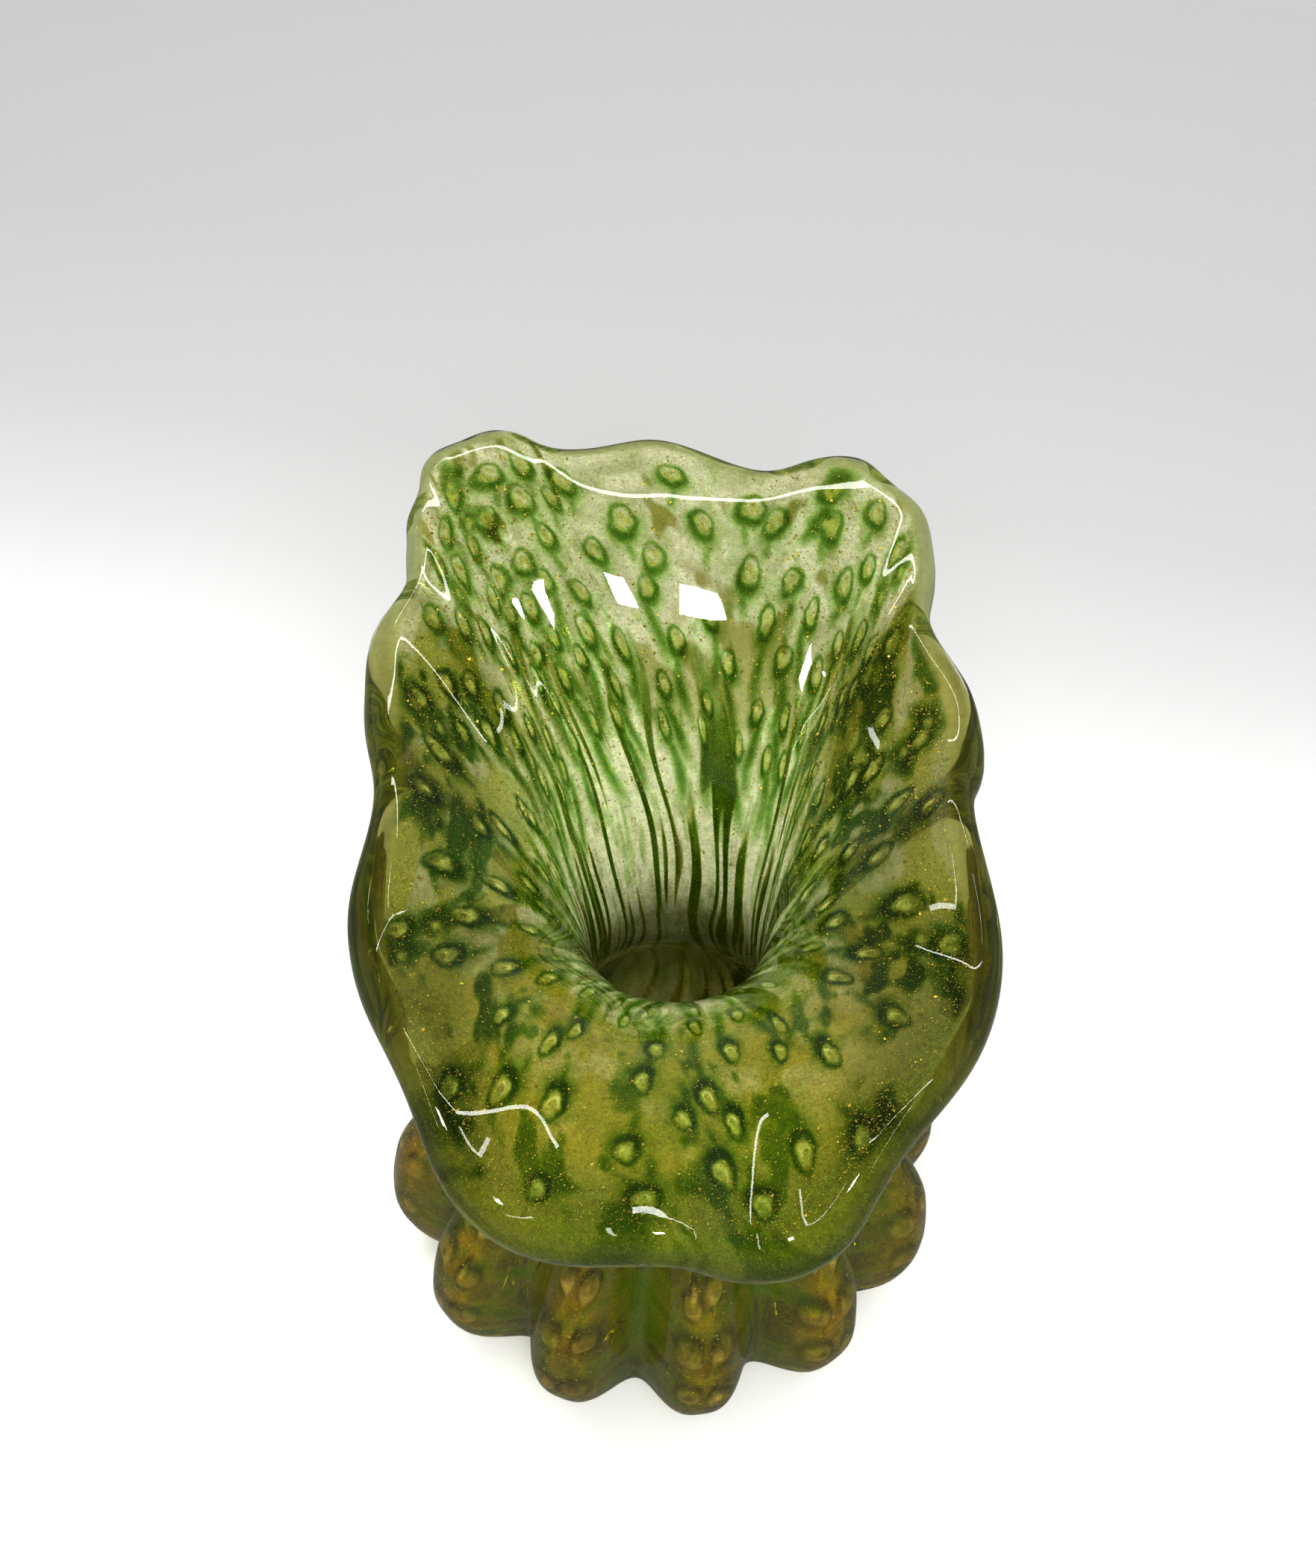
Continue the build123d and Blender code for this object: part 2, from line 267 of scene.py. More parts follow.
# ===================================================================== helpers
def add_mesh(name, verts, faces, smooth=True):
    me = bpy.data.meshes.new(name)
    me.from_pydata([tuple(v) for v in (np.asarray(verts) * MM).tolist()], [], faces)
    me.update()
    if smooth:
        me.polygons.foreach_set("use_smooth", [True] * len(me.polygons))
    ob = bpy.data.objects.new(name, me)
    bpy.context.scene.collection.objects.link(ob)
    return ob


def grid_faces(rows, cols, wrap, flip=False, base=0):
    i, j = np.meshgrid(np.arange(rows - 1), np.arange(cols if wrap else cols - 1), indexing="ij")
    j2 = (j + 1) % cols
    f = np.stack([i * cols + j, i * cols + j2, (i + 1) * cols + j2, (i + 1) * cols + j], -1).reshape(-1, 4)
    if flip:
        f = f[:, ::-1]
    return (f + base).tolist()


def float_attribute(ob, name, values):
    at = ob.data.attributes.new(name, "FLOAT", "POINT")
    at.data.foreach_set("value", np.asarray(values, np.float32).ravel())


def colour_attribute(ob, name, rgba):
    at = ob.data.attributes.new(name, "FLOAT_COLOR", "POINT")
    at.data.foreach_set("color", np.asarray(rgba, np.float32).ravel())


def lin(r, g, b):
    c = np.array([r, g, b], float) / 255
    return np.where(c <= 0.04045, c / 12.92, ((c + 0.055) / 1.055) ** 2.4)


def lattice_noise(t, f, nt, nf, seed):
    """Smooth noise, periodic round the vase, nt cells round and nf cells per unit of f."""
    g = np.random.default_rng(seed).random((64, nt))
    x = (t / 12.0 * nt) % nt
    y = np.clip(f * nf, 0, 62)
    i, j = np.floor(x).astype(int) % nt, np.floor(y).astype(int)
    u, v = x - np.floor(x), y - j
    u, v = u * u * (3 - 2 * u), v * v * (3 - 2 * v)
    k = (i + 1) % nt
    return (g[j, i] * (1 - u) + g[j, k] * u) * (1 - v) + (g[j + 1, i] * (1 - u) + g[j + 1, k] * u) * v


def mixed(a, b, w):
    return a * (1 - w[..., None]) + b * w[..., None]


# ===================================================================== outer glass
NT = 480
TG = np.arange(NT) * 12.0 / NT


def at(v):
    return np.full(NT, float(v))


rows = [body_outer(TG, at(0)) * np.array([k, k, 0]) for k in (0.15, 0.4, 0.7, 0.93)]
rows += [body_outer(TG, at(u)) for u in np.linspace(0, 1, 64)]
rows += [mouth_outer(TG, at(s)) for s in np.linspace(0, 1, 52)[1:]]
rows += [lip_bead(TG, a) for a in np.linspace(0, math.pi, 15)[1:-1]]
rows += [mouth_inner(TG, at(s)) for s in np.linspace(1, 0, 56)]
rows += [cavity(TG, at(u)) for u in np.linspace(0, 1, 44)[1:]]
rows = np.array(rows)
last = rows[-1]
mid = last.mean(0)
rows = np.concatenate([rows, [mid + (last - mid) * k for k in (0.6, 0.2)]])
n_rows = len(rows)
# hand-blown unevenness: slow waves of about a quarter of a millimetre
wav = (lattice_noise(np.broadcast_to(TG, (n_rows, NT)), np.linspace(0, 1, n_rows)[:, None] + 0 * TG, 31, 26, 3) - 0.5) * 0.32
d_t = np.roll(rows, -1, 1) - np.roll(rows, 1, 1)
d_s = np.gradient(rows, axis=0)
nn = np.cross(d_t, d_s)
nn /= np.maximum(np.linalg.norm(nn, axis=-1, keepdims=True), 1e-9)
calm = np.ones(n_rows)
calm[:8] = 0
calm[-8:] = 0
rows = rows + nn * (wav * calm[:, None])[..., None]
verts = rows.reshape(-1, 3)
faces = grid_faces(n_rows, NT, True)
c0, c1 = len(verts), len(verts) + 1
verts = np.vstack([verts, rows[0].mean(0), rows[-1].mean(0)])
top = (n_rows - 1) * NT
faces += [[c0, (j + 1) % NT, j] for j in range(NT)]
faces += [[c1, top + j, top + (j + 1) % NT] for j in range(NT)]
glass = add_mesh("casing_glass", verts, faces)

# ===================================================================== wall metric
# f runs from 0 at the lip to 1 at the throat and on to 2 at the cavity floor
SA = np.linspace(1, 0, 61)
TA = np.linspace(0, 12, 193)
gA = np.array([mouth_inner(TA, np.full_like(TA, s), 1.6) for s in SA])
seg = np.linalg.norm(np.diff(gA, axis=0), axis=-1)
ARC = np.vstack([np.zeros(len(TA)), np.cumsum(seg, 0)])
LEN = ARC[-1]
FRAC = ARC / LEN
# mm per unit of t at each station
WID = np.linalg.norm(np.gradient(gA, axis=1), axis=-1) / (TA[1] - TA[0])


def s_of(t, f):
    """Station s for a fraction f of the wall below the lip."""
    t = np.asarray(t, float) % 12
    f = np.asarray(f, float)
    k = t / (TA[1] - TA[0])
    i = np.clip(np.floor(k).astype(int), 0, len(TA) - 2)
    out = np.empty_like(t)
    for n in range(len(out)):
        w = k[n] - i[n]
        col = FRAC[:, i[n]] * (1 - w) + FRAC[:, i[n] + 1] * w
        out[n] = np.interp(f[n], col, SA)
    return out


def wall(t, f, deep):
    """Point and inward normal on the wall, deep mm below the inner surface."""
    t = np.asarray(t, float)
    f = np.asarray(f, float)
    p = np.empty(t.shape + (3,))
    n = np.empty(t.shape + (3,))
    up = f <= 1
    if up.any():
        s = s_of(t[up], f[up])
        m, nr, a = mouth_frame(t[up], s)
        p[up] = m + nr * (half_wall(s) - deep)[..., None]
        n[up] = nr
    lo = ~up
    if lo.any():
        u = f[lo] - 1
        c = cavity(t[lo], u, deep)
        q = cavity(t[lo], u, deep + 0.5)
        d = c - q
        p[lo] = c
        n[lo] = d / np.linalg.norm(d, axis=-1, keepdims=True)
    return p, n


# ===================================================================== bubble rows
ROWS_F = [0.060, 0.150, 0.245, 0.340, 0.435, 0.525, 0.61]
bub = []
for r, f0 in enumerate(ROWS_F):
    for k in range(24):
        t0 = ((k + 0.5 * (r % 2)) * 0.5 + rng.normal(0, 0.065)) % 12
        f1 = f0 + rng.normal(0, 0.016)
        grow = (1 - 0.03 * r) * (1 - 0.18 * (r == 0))
        bub.append((t0, f1, rng.uniform(2.0, 3.0) * grow, rng.uniform(1.4, 2.1) * (1 - 0.11 * r), r))
bub = np.array(bub)

# ===================================================================== coloured layer
NC = 1080
TC = np.arange(NC + 1) * 12.0 / NC
f_list = np.concatenate([np.linspace(0.01, 1.0, 215), 1 + np.linspace(0, 0.97, 34)[1:]])
P_rows = []
LIP_ROWS = 20
for s in np.linspace(0.76, 0.985, 8):
    m, n, a = mouth_frame(TC[:-1], np.full(NC, s))
    rib = rib_height(TC[:-1], np.full(NC, s)) * 0.6
    o = m - n * (half_wall(np.full(NC, s)) + rib - 1.5)[..., None]
    P_rows.append(np.vstack([o, o[:1]]))
for turn in np.linspace(0, math.pi, 12):
    m, n, a = mouth_frame(TC[:-1], np.ones(NC))
    r = (WALL_LIP - 1.5 + 0.6 * rib_height(TC[:-1], np.ones(NC)) * (1 + math.cos(turn)) / 2)[..., None]
    o = m - n * (r * math.cos(turn)) + a * (r * math.sin(turn))
    P_rows.append(np.vstack([o, o[:1]]))
for f in f_list:
    p, n = wall(TC[:-1], np.full(NC, f), 1.6)
    P_rows.append(np.vstack([p, p[:1]]))
P = np.array(P_rows)
TT = np.broadcast_to(TC, P.shape[:2])
f_all = np.concatenate([np.linspace(-0.36, 0, LIP_ROWS), f_list])
FF = np.broadcast_to(f_all[:, None], P.shape[:2])
kx = np.clip((TT / (TA[1] - TA[0])).astype(int), 0, len(TA) - 1)
LL = LEN[kx]
WW = np.linalg.norm(np.gradient(P, axis=1), axis=-1) / (12.0 / NC)

ring = np.zeros(P.shape[:2])
bubble_centre_and_glint = np.zeros(P.shape[:2])
tail = np.zeros(P.shape[:2])
for (tb, fb, ha, hb, r) in bub:
    dt = (TT - tb + 6) % 12 - 6
    near = (np.abs(dt) < 0.7) & (FF > fb - 0.12) & (FF < fb + 0.34)
    x = dt[near] * WW[near]
    y = (FF[near] - fb) * LL[near]
    wob = 0.30 * np.sin(3.1 * np.arctan2(y, x) + 7 * tb) + 0.16 * np.sin(5.0 * np.arctan2(y, x) + 19 * tb)
    q = np.sqrt((x / hb) ** 2 + (y / ha) ** 2) + wob * 0.3
    down = np.clip(y / ha, -1, 1.5)
    side = np.clip(x / hb, -1, 1) * np.sin(23 * tb)
    thick = 0.40 + 0.16 * down + 0.12 * side
    rr = np.exp(-((q - 1.28) / np.maximum(thick, 0.2)) ** 2) * np.clip(0.92 + 0.20 * down + 0.15 * side, 0, 1.1)
    rr = np.maximum(rr, 0.34 * np.exp(-((q - 1.3) / 1.05) ** 2) * (q > 1.3) * (0.7 + 0.6 * down))
    ring[near] = np.maximum(ring[near], rr)
    bubble_centre_and_glint[near] = np.maximum(bubble_centre_and_glint[near], np.clip((0.88 - q) / 0.22, 0, 1) * (0.72 + 0.28 * np.sin(2.2 * x + 1.7 * y + 31 * tb)))
    bend = 0.9 * np.sin(0.25 * y + 9 * tb)
    run = 15.0 if r > 2 else 9.0
    tl = np.exp(-((x - bend) / (0.75 + 0.03 * np.abs(y))) ** 2) * step((y - 0.9 * ha) / 1.5) * (1 - step((y - run * 0.6) / (run * 0.6)))
    tail[near] = np.maximum(tail[near], tl * (0.56 + 0.04 * r))

# dark pockets where the bead swells into a side lobe, each with a painted highlight: a small bright spot
pocket = np.zeros(P.shape[:2])
for tb0 in (1.5, 2.5, 3.5, 4.5, 7.5, 8.5, 9.5, 10.5):
    for fb in (0.045, 0.135):
        tb = tb0 + rng.uniform(-0.10, 0.10)
        dt = (TT - tb + 6) % 12 - 6
        near = (np.abs(dt) < 0.6) & (np.abs(FF - fb) < 0.14)
        x = dt[near] * WW[near]
        y = (FF[near] - fb) * LL[near]
        th = np.arctan2(y, x)
        q = np.hypot(x / rng.uniform(2.4, 3.4), y / rng.uniform(2.6, 4.0)) * (1 + 0.20 * np.sin(2 * th + 9 * tb) + 0.13 * np.sin(5 * th + 21 * fb * tb))
        gx, gy = rng.uniform(-1.0, 1.0), rng.uniform(-1.2, 0.6)
        # painted highlight: a bright spot that lightens the pocket and is added to the amber of the bubble centres
        painted_glint = np.exp(-(np.hypot(x - gx, y - gy) / 0.85) ** 2)
        pocket[near] = np.maximum(pocket[near], np.clip(1.5 - q, 0, 1) * (1 - 0.9 * painted_glint))
        bubble_centre_and_glint[near] = np.maximum(bubble_centre_and_glint[near], 0.75 * painted_glint * (q < 1.3))

warp = TT + 0.10 * np.sin(5 * FF + 1.3 * np.sin(TT)) + 0.05 * np.sin(17 * FF + 2 * TT)
fine = lattice_noise(warp, FF, 120, 3.4, 11)
mid_n = lattice_noise(warp + 0.2, FF, 66, 2.6, 12)
wide = lattice_noise(TT, FF, 18, 4, 13)
blot = lattice_noise(TT, FF, 96, 26, 14)
FB = FF
FF = np.clip(FF, 0, 2)
deepness = step((FF - 0.36) / 0.40)
streak = step((0.80 * fine + 0.20 * mid_n - 0.60) / 0.06) * deepness
pale_run = step((0.60 - (0.80 * fine + 0.20 * mid_n)) / 0.05)
patch = step((lattice_noise(warp, FF, 54, 11, 15) * 0.7 + lattice_noise(warp, FF, 128, 24, 16) * 0.3 - 0.52 + 0.33 * step((P[..., 1] - 30.0) / 26.0)) / 0.14)
pale_run = np.clip(pale_run * deepness + patch * (1 - deepness), 0, 1)
# painted shade: the wall darkens from just above the throat downward, where the body shades it from behind, and
# lightens a little again deep in the cavity
painted_throat_shade = step((FF - 0.91) / 0.16) * (1 - 0.55 * step((FF - 1.50) / 0.14))

back_w = step((P[..., 1] - 30.0) / 25.0)
side_w = step((np.abs(P[..., 0]) - 20.0) / 16.0) * (1 - back_w) * (1 - painted_throat_shade)
smudge = step((lattice_noise(warp, FF, 84, 8, 31) * 0.45 + lattice_noise(warp, FF, 170, 22, 32) * 0.35 + lattice_noise(warp, FF, 260, 40, 34) * 0.2 - 0.52) / 0.20)
spread = lattice_noise(warp, FF, 120, 34, 33)
gold = lin(186, 174, 74)
moss = lin(124, 146, 50)
dark = lin(30, 84, 4)
pale = lin(252, 254, 226)
amber = lin(212, 226, 104)
# dark olive of the painted throat shade
throat_shade_colour = lin(70, 74, 18)
c = mixed(gold, moss, np.clip(0.05 + 0.5 * wide - 0.5 * (blot - 0.5), 0, 1))
front = step((-P[..., 1] - 6.0) / 30.0)
white_w = (1 - 0.8 * step((-P[..., 1] - 42.0) / 20.0)) * np.clip(pale_run * (0.62 + 0.7 * blot) * (0.60 + 0.40 * deepness + 0.30 * back_w) * (1 - 0.78 * front * (1 - deepness)) * (1 - 0.30 * side_w), 0, 0.97)
mark = np.maximum(np.maximum(np.maximum(streak * 0.95, ring), tail), pocket * 0.95)
mark = np.maximum(mark, smudge * (0.56 - 0.42 * back_w + 0.24 * side_w) * (1 - deepness * 0.6))
mark = mark * (0.78 + 0.44 * spread)
c = mixed(c, pale, white_w)
# marks are darkened up to a third more away from the back wall, above the throat
mark_boost_off_back = (1 + 0.35 * (1 - back_w) * (1 - deepness))[..., None]
c = c * np.exp(-np.array([2.35, 1.45, 3.3]) * mark_boost_off_back * np.clip(mark, 0, 1.15)[..., None])
# amber in the clear bubble centres and at the painted highlights in the pockets
c = mixed(c, amber, bubble_centre_and_glint * 0.9)
# painted shade mixed into the colour of the throat and cavity walls
c = mixed(c, throat_shade_colour, painted_throat_shade * 0.75)
# painted shade darkens the sides of the mouth; the back wall above the throat is also a little darker
c = c * (1 - 0.54 * side_w - 0.24 * back_w * (1 - deepness))[..., None]
# painted shade along the front lip's edge, where it curls down
lip_edge_shade = front * (1 - step((FF - 0.015) / 0.17))
c = c * (1 - np.array([0.44, 0.32, 0.42]) * lip_edge_shade[..., None])
# what the layer lets through
tc_ = mixed(np.array([0.84, 0.82, 0.42]), np.array([0.68, 0.78, 0.32]), np.clip(0.1 + wide * 0.8, 0, 1))
tc_ = mixed(tc_, np.array([0.97, 0.98, 0.88]), white_w)
tc_ = tc_ * np.exp(-np.array([2.2, 1.25, 3.1]) * np.clip(mark, 0, 1.15)[..., None])
tc_ = mixed(tc_, np.array([0.90, 0.88, 0.46]), bubble_centre_and_glint)
# painted shade: the layer lets less light through where the throat shade is painted
tc_ = mixed(tc_, np.array([0.30, 0.31, 0.07]), painted_throat_shade * 0.7)
tc_ = tc_ * (1 - np.array([0.22, 0.18, 0.45]) * side_w[..., None]) * (1 - 0.20 * back_w * (1 - deepness))[..., None]
rim_w = 1 - step((FB + 0.05) / 0.06)
front_rim = step((-P[..., 1] - 38.0) / 22.0)
rim_w = rim_w * (1 - 0.65 * front_rim)
rim_t = mixed(np.array([0.84, 0.82, 0.48]), np.array([0.90, 0.93, 0.68]), back_w)
tc_ = mixed(tc_, rim_t, rim_w)
outer_w = 1 - step((FB + 0.36) / 0.22)
tc_ = mixed(tc_, np.array([0.95, 0.96, 0.85]), outer_w)
opq = 0.26 + 0.14 * wide + (0.44 + 0.16 * deepness) * white_w + 0.46 * mark + 0.34 * front * (1 - deepness)
opq = opq * (1 - 0.40 * bubble_centre_and_glint)
opq = opq * (1 - 0.4 * step((FF - 1.50) / 0.14))
# the painted throat shade also makes the layer more opaque
opq = np.clip(opq + 0.30 * painted_throat_shade, 0.06, 0.90)
opq = opq + 0.24 * side_w * (1 - bubble_centre_and_glint)
opq = np.clip(opq, 0.05, 0.92)
opq = opq * (1 - rim_w) + (0.07 - 0.03 * back_w + 0.40 * front_rim) * rim_w
opq = opq * (1 - outer_w)
smooth_edge = step((0.10 - FB) / 0.10) * side_w
opq = opq * (1 - 0.35 * smooth_edge)
c = mixed(c, mixed(lin(188, 180, 84), lin(196, 200, 120), back_w) * (1 - np.array([0.44, 0.30, 0.55]) * front_rim[..., None]), rim_w * 0.8)

layer = add_mesh("green_layer", P.reshape(-1, 3), grid_faces(len(f_all), NC + 1, False, flip=True))
colour_attribute(layer, "col", np.concatenate([c, opq[..., None]], -1).reshape(-1, 4))
colour_attribute(layer, "pass_tint", np.concatenate([tc_, opq[..., None]], -1).reshape(-1, 4))
float_attribute(layer, "opq", opq)

# ===================================================================== lobe layer
# the same coloured glass where it lies near the outside of the body's ribs
us = np.linspace(0.10, 0.93, 130)
LT = np.arange(721) * 12.0 / 720
LP, LN = [], []
for u in us:
    o = body_outer(LT[:-1], np.full(720, u))
    e = 1e-3
    da = body_outer(LT[:-1] + e, np.full(720, u)) - body_outer(LT[:-1] - e, np.full(720, u))
    db = body_outer(LT[:-1], np.full(720, u + e)) - body_outer(LT[:-1], np.full(720, u - e))
    n = np.cross(da, db)
    n /= np.linalg.norm(n, axis=-1, keepdims=True)
    n *= np.sign(np.sum(n * outward(LT[:-1]), -1, keepdims=True))
    p = o - n * 4.2
    LP.append(np.vstack([p, p[:1]]))
    LN.append(np.vstack([n, n[:1]]))
LP, LN = np.array(LP), np.array(LN)
LTT = np.broadcast_to(LT, LP.shape[:2])
LUU = np.broadcast_to(us[:, None], LP.shape[:2])
gro = groove(LTT)
beads = []
for r, u in enumerate([0.13, 0.24, 0.35, 0.46, 0.57, 0.68]):
    for k in range(24):
        tb = (k // 2) + 0.5 + (0.17 if k % 2 else -0.17) * (1.1 if r % 2 else 0.85) + rng.normal(0, 0.02)
        beads.append((tb, u + rng.normal(0, 0.008), rng.uniform(2.7, 3.8), rng.uniform(2.1, 2.9)))
bead_top_shade = np.zeros(LP.shape[:2])
bead_low_highlight = np.zeros(LP.shape[:2])
bead_bump = np.zeros(LP.shape[:2])
LW = np.linalg.norm(np.gradient(LP, axis=1), axis=-1) / (12.0 / 720)
LH = np.linalg.norm(np.gradient(LP, axis=0), axis=-1) / (us[1] - us[0])
# each bead is a real bump of the layer; a painted shade ring, strongest on its upper side, and a painted highlight on
# its lower half are added to its colour
for (tb, ub, ha, hb) in beads:
    dt = (LTT - tb + 6) % 12 - 6
    near = (np.abs(dt) < 0.45) & (np.abs(LUU - ub) < 0.11)
    x = dt[near] * LW[near]
    y = (LUU[near] - ub) * LH[near]
    q = np.hypot(x / hb, y / ha)
    bead_bump[near] = np.maximum(bead_bump[near], np.exp(-(q / 1.05) ** 2.5))
    bead_top_shade[near] = np.maximum(bead_top_shade[near], np.exp(-((q - 1.05) / 0.36) ** 2) * np.clip(0.45 + 0.65 * y / ha, 0, 1))
    bead_low_highlight[near] = np.maximum(bead_low_highlight[near], np.exp(-((q - 0.62) / 0.34) ** 2) * np.clip(0.40 - 0.75 * y / ha, 0, 1))
lb = lattice_noise(LTT, LUU * 2, 96, 20, 21)
lw = lattice_noise(LTT, LUU * 2, 48, 9, 22)
brown = lin(244, 196, 60)
LP = LP + LN * (2.1 * bead_bump)[..., None]
lmark = np.clip(gro * 0.16 + 0.9 * (lb - 0.62), 0, 0.95)
mottle = lattice_noise(LTT, LUU * 2, 230, 28, 23)
# painted shade round each bead, darkest above
lc = mixed(brown, lin(196, 192, 56), lw) * (0.60 + 0.45 * mottle)[..., None] * np.exp(-np.array([2.1, 1.9, 2.4]) * bead_top_shade[..., None])
# painted highlight in bright gold on the lower half of each bead
lc = mixed(lc, lin(255, 226, 122), np.clip(1.6 * bead_low_highlight, 0, 1))
lc = mixed(lc, lin(190, 204, 118), gro * 0.80)
lc = np.clip(lc, 0, 1) * np.exp(-np.array([2.2, 0.9, 3.4]) * lmark[..., None])
fade = step((LUU - 0.08) / 0.10) * (1 - step((LUU - 0.70) / 0.22))
lt = mixed(mixed(np.array([0.88, 0.76, 0.28]), np.array([0.84, 0.86, 0.42]), lw), np.array([0.56, 0.70, 0.26]), lmark)
lt = 1 - (1 - lt) * fade[..., None]
lo = np.clip(0.50 + 0.30 * step((lb - 0.30) / 0.4) - 0.26 * gro + 0.30 * bead_top_shade + 0.30 * bead_low_highlight, 0, 0.94) * fade
lobes = add_mesh("lobe_layer", LP.reshape(-1, 3), grid_faces(len(us), 721, False))
colour_attribute(lobes, "col", np.concatenate([lc, lo[..., None]], -1).reshape(-1, 4))
colour_attribute(lobes, "pass_tint", np.concatenate([lt, lo[..., None]], -1).reshape(-1, 4))
float_attribute(lobes, "opq", lo)

# ===================================================================== bubbles
SEG, RNG = 16, 9
bv, bf = [], []
ph = np.linspace(0, math.pi, RNG)
th = np.arange(SEG) * 2 * math.pi / SEG
unit = np.array([[math.sin(a) * math.cos(b), math.sin(a) * math.sin(b), math.cos(a)] for a in ph[1:-1] for b in th])


def bubble(place, along, normal, la, lb_, lc_):
    base = len(bv)
    side = np.cross(normal, along)
    side /= np.linalg.norm(side)
    al = np.cross(side, normal)
    R = np.stack([side * lb_, al * la, normal * lc_])
    pts = unit @ R + place
    bv.extend(pts.tolist())
    bv.append((place + normal * lc_).tolist())
    bv.append((place - normal * lc_).tolist())
    n = len(unit)
    for i in range(RNG - 3):
        for j in range(SEG):
            k = (j + 1) % SEG
            bf.append([base + i * SEG + j, base + (i + 1) * SEG + j, base + (i + 1) * SEG + k, base + i * SEG + k])
    for j in range(SEG):
        k = (j + 1) % SEG
        bf.append([base + n, base + j, base + k])
        bf.append([base + n + 1, base + n - SEG + k, base + n - SEG + j])


pb, nb = wall(bub[:, 0], bub[:, 1], 3.0)
pq, _ = wall(bub[:, 0], bub[:, 1] + 0.01, 3.0)
for i in range(len(bub)):
    al = pq[i] - pb[i]
    al /= np.linalg.norm(al)
    bubble(pb[i], al, nb[i], bub[i, 2] * 0.92, bub[i, 3] * 0.92, 1.05)
bubbles = add_mesh("air_bubbles", np.array(bv), bf)

# ===================================================================== leaf
fv, ff = [], []


def specks(pts, nrm, size):
    for p, n, s in zip(pts, nrm, size):
        base = len(fv)
        r = rng.normal(size=3)
        n = n + 0.45 * rng.normal(size=3)
        n /= np.linalg.norm(n)
        a = np.cross(n, r)
        a /= np.linalg.norm(a)
        b = np.cross(n, a)
        k = rng.uniform(0.55, 1.0, 4)
        fv.extend([(p + a * s * k[0]).tolist(), (p + b * s * k[1] * 0.8).tolist(), (p - a * s * k[2]).tolist(),
                   (p - b * s * k[3] * 0.8).tolist(), (p + n * 0.03).tolist(), (p - n * 0.03).tolist()])
        for i in range(4):
            j = (i + 1) % 4
            ff.append([base + i, base + j, base + 4])
            ff.append([base + j, base + i, base + 5])


N1 = 13000
t1 = rng.uniform(0, 12, N1)
f1 = rng.beta(0.9, 1.9, N1) * 0.9 + 0.005
p1, n1 = wall(t1, f1, 1.0)
depth = rng.uniform(-0.3, 0.45, N1)
specks(p1 - n1 * depth[:, None], n1, rng.uniform(0.10, 0.30, N1) * np.where(rng.random(N1) < 0.10, 1.8, 1))
N3 = 5000
t3 = rng.normal(0.6, 1.6, N3) % 12
f3 = np.abs(rng.normal(0, 0.07, N3)) + 0.003
p3, n3 = wall(t3, f3, 1.1)
specks(p3 - n3 * rng.uniform(-0.3, 0.3, N3)[:, None], n3, rng.uniform(0.10, 0.26, N3))
N2 = 6000
t2 = (np.floor(rng.uniform(0, 12, N2)) + 0.5 + rng.normal(0, 0.17, N2)) % 12
u2 = rng.uniform(0.12, 0.8, N2)
o2 = body_outer(t2, u2)
dA = body_outer(t2 + 1e-3, u2) - o2
dB = body_outer(t2, u2 + 1e-3) - o2
n2 = np.cross(dA, dB)
n2 /= np.linalg.norm(n2, axis=-1, keepdims=True)
n2 *= np.sign(np.sum(n2 * outward(t2), -1, keepdims=True))
specks(o2 - n2 * rng.uniform(2.4, 3.2, N2)[:, None], n2, rng.uniform(0.14, 0.42, N2))
leaf = add_mesh("leaf_specks", np.array(fv), ff, smooth=False)


# ===================================================================== materials
def fresh(name):
    m = bpy.data.materials.new(name)
    m.use_nodes = True
    nt = m.node_tree
    nt.nodes.clear()
    return m, nt, nt.nodes.new("ShaderNodeOutputMaterial")


def node(nt, kind, **kw):
    n = nt.nodes.new(kind)
    for k, v in kw.items():
        if k in n.inputs:
            n.inputs[k].default_value = v
        else:
            setattr(n, k, v)
    return n


def maths(nt, op, a, b=None, clamp=False):
    n = nt.nodes.new("ShaderNodeMath")
    n.operation = op
    n.use_clamp = clamp
    for i, v in enumerate((a, b)):
        if v is None:
            continue
        if isinstance(v, (int, float)):
            n.inputs[i].default_value = v
        else:
            nt.links.new(v, n.inputs[i])
    return n.outputs[0]


